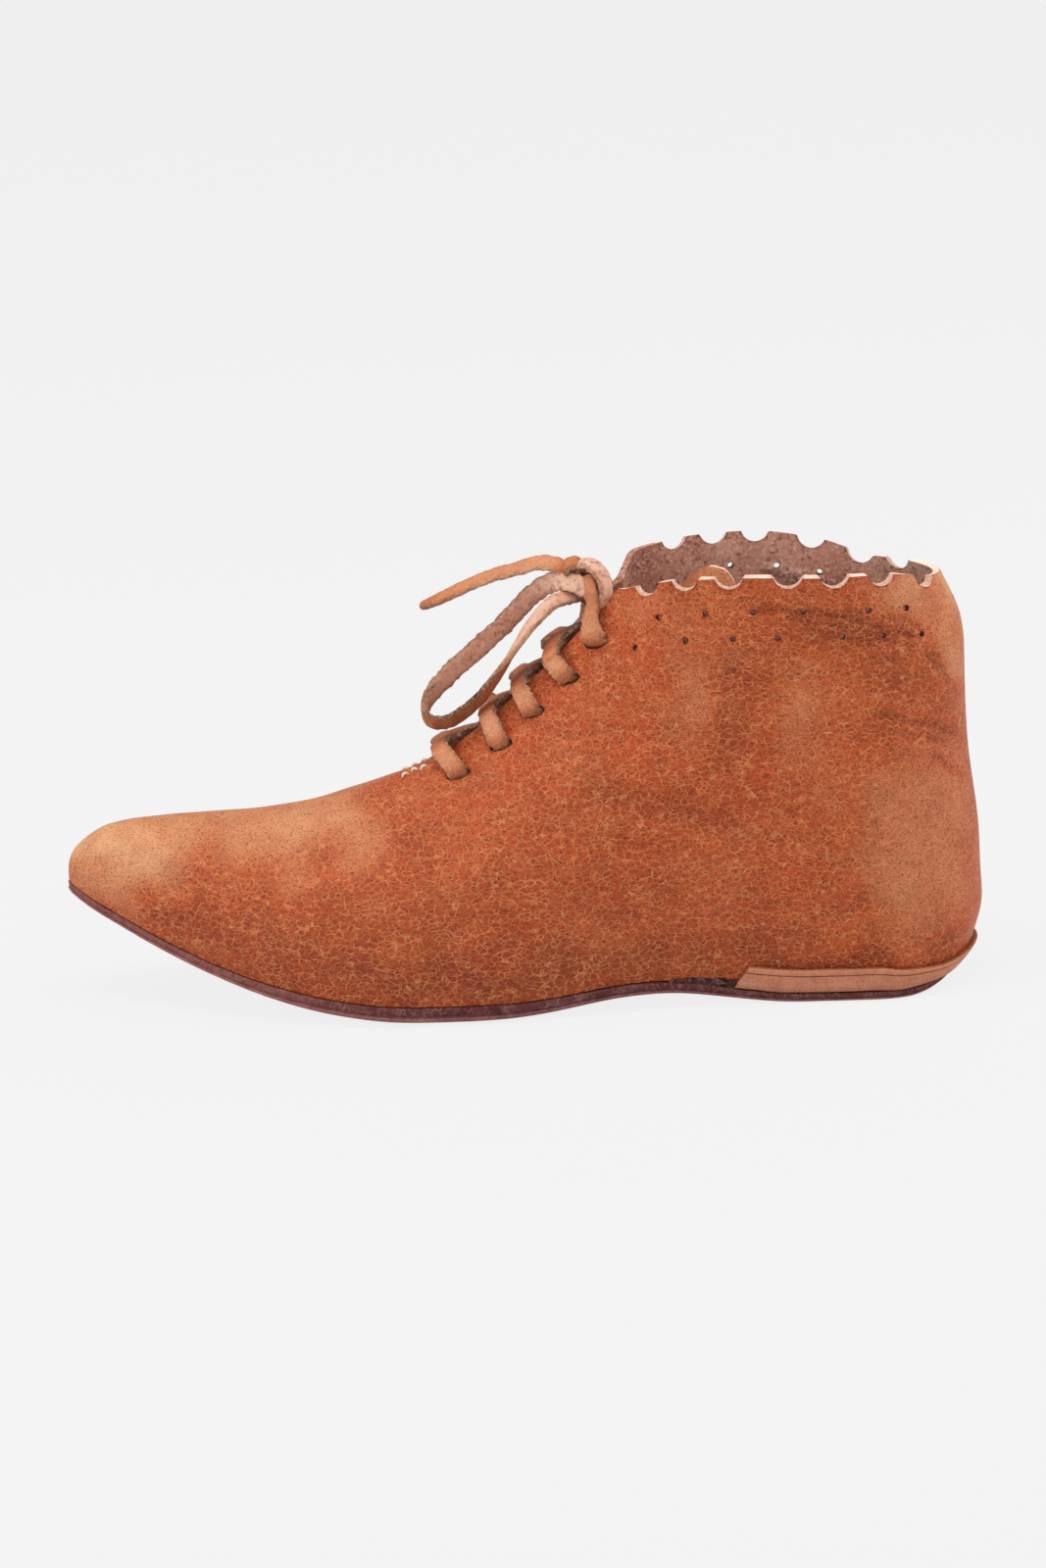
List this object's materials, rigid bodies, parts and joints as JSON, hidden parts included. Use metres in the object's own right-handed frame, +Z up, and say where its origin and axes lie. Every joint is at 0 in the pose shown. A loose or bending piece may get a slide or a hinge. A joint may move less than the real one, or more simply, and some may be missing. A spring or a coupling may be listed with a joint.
{
  "type": "medieval shoe",
  "caption": "Ankle-high leather turnshoe with a pointed, upturned toe, a scalloped collar, a laced throat with a tied bow and a thin sole with a heel band.",
  "frame": {"origin": "on the floor, below the centre of the shoe's bounding box without the bow", "axes": "+X towards the heel (the toe points to -X), +Y towards the inner (medial) side, +Z up from the floor"},
  "size_m": [0.2918, 0.0905, 0.1392],
  "materials": {
    "upper_leather": "waxed grain leather with fine pale crackle, orange-tan brown",
    "sole_leather": "dark purple-brown sole leather, waxed edge",
    "insole_leather": "plain matt leather",
    "band_leather": "light tan vegetable-tanned leather",
    "lace_leather": "tan thong, grain outside and pale suede inside"
  },
  "bodies": {
    "root": {"upper": "upper_leather", "outsole": "sole_leather", "insole": "insole_leather", "tongue": "upper_leather", "heel_band": "band_leather", "lace_crossings": "lace_leather", "lace_knot": "lace_leather", "lace_loop": "lace_leather", "lace_end": "lace_leather"}
  },
  "joints": []
}
